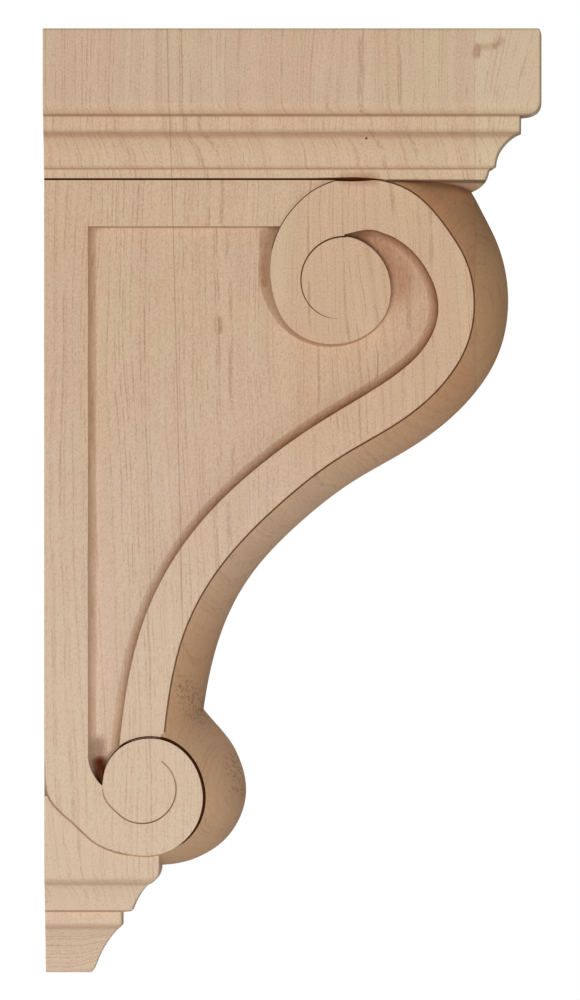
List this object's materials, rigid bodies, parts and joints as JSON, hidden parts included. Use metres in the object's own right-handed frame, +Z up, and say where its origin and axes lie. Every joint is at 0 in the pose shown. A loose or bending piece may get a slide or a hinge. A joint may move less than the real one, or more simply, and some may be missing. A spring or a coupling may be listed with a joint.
{
  "type": "wooden corbel bracket",
  "caption": "Carved maple corbel bracket: a moulded crown on an S-scroll with sunk side panels and a stepped foot.",
  "frame": {"origin": "centre of the flat back face, halfway up and halfway across, where the wall bears on it", "axes": "+X straight out from the wall, +Y across the width, +Z up"},
  "size_m": [0.1865, 0.114, 0.355],
  "materials": {
    "maple": "bare sanded maple, unvarnished"
  },
  "bodies": {
    "root": {"corbel": "maple"}
  },
  "joints": []
}
